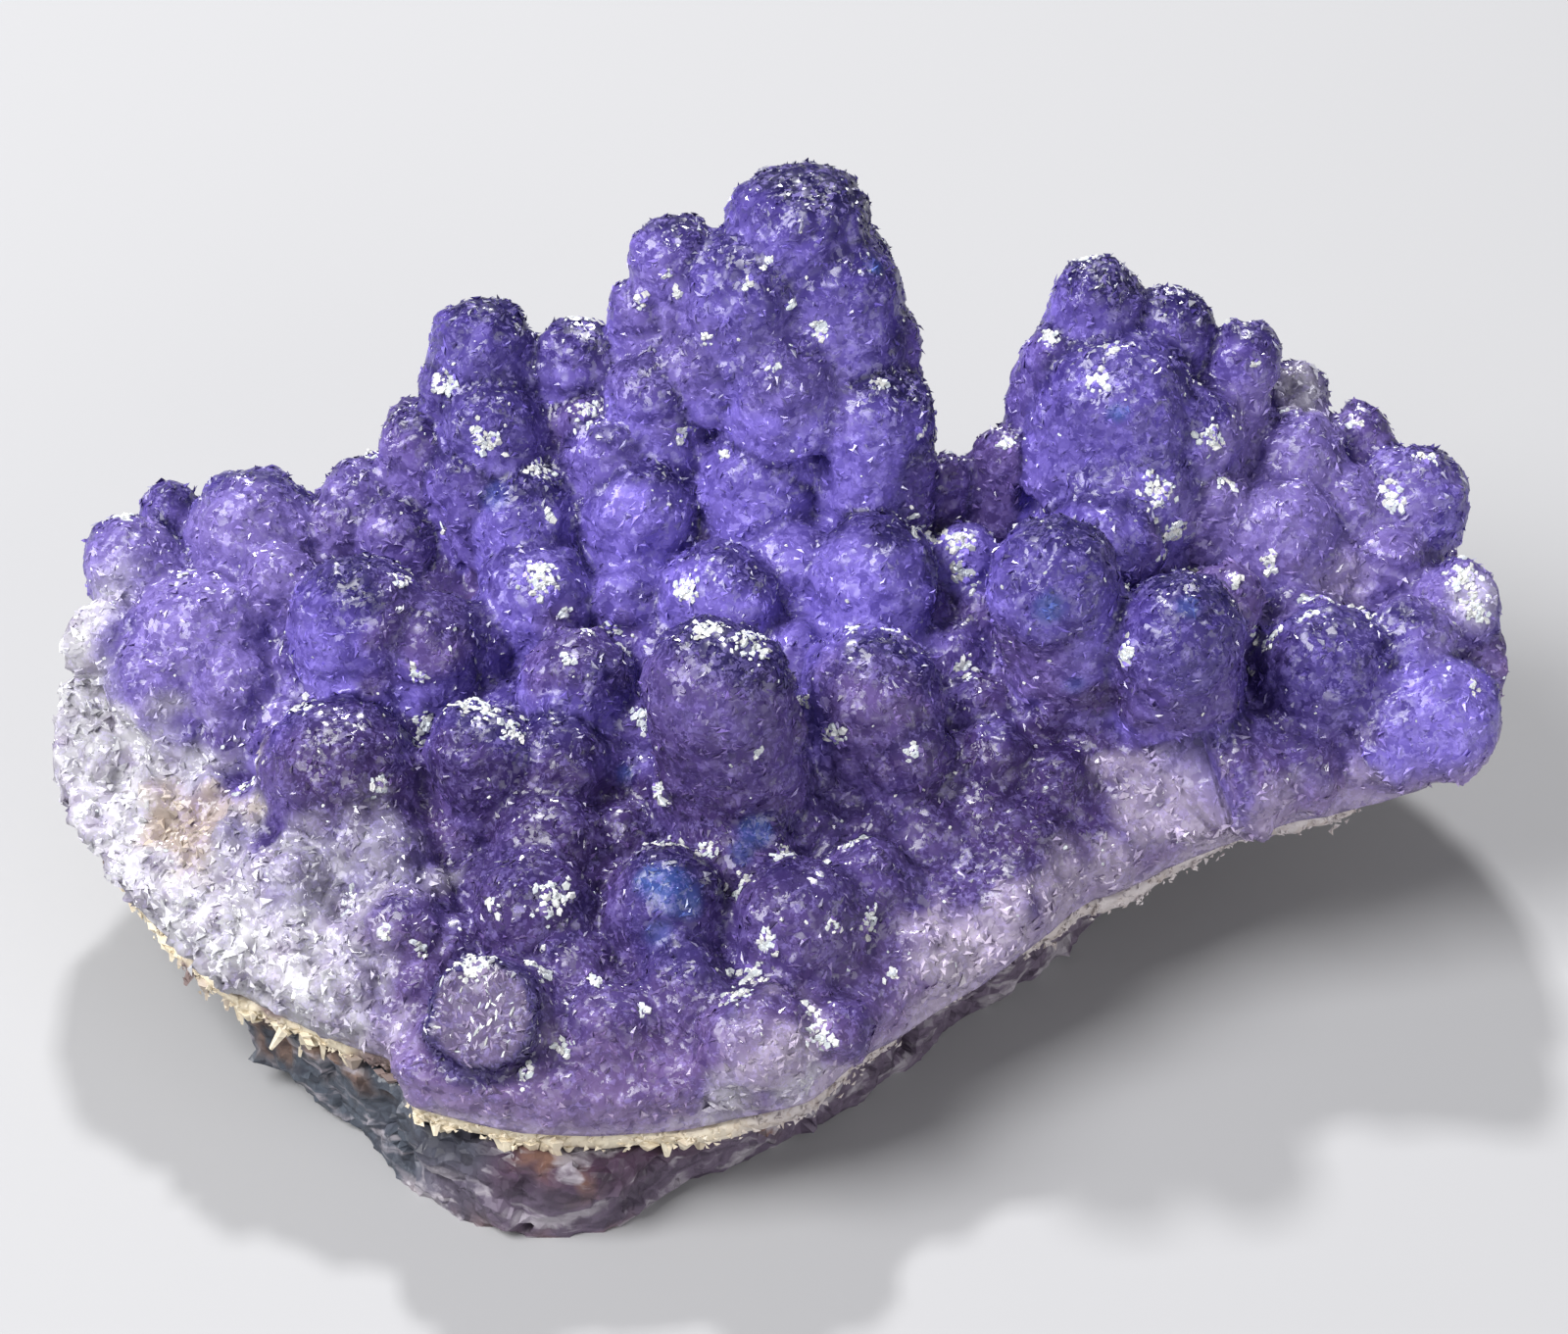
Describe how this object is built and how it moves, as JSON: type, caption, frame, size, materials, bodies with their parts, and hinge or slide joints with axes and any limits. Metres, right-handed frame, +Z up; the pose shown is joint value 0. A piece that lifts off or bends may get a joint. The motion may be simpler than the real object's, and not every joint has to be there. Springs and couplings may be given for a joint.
{
  "type": "botryoidal fluorite specimen",
  "caption": "Palm-sized mineral specimen: a crust of rounded violet fluorite knobs with low towers, on a thin pale seam and dark host rock cut flat to rest on.",
  "frame": {"origin": "middle of the specimen's box on the flat cut that it rests on", "axes": "+X to the right seen from the front, +Y towards the back, +Z up"},
  "size_m": [0.0901, 0.0603, 0.0433],
  "materials": {
    "violet_fluorite": "translucent violet mineral with a sparkling, finely crystalline skin",
    "cream_seam": "cream-white granular quartz-like mineral, matt",
    "dark_host_rock": "dark purple-brown rock with pale veins, matt"
  },
  "bodies": {
    "root": {"fluorite_crust": "violet_fluorite", "pale_seam": "cream_seam", "host_rock": "dark_host_rock"}
  },
  "joints": []
}
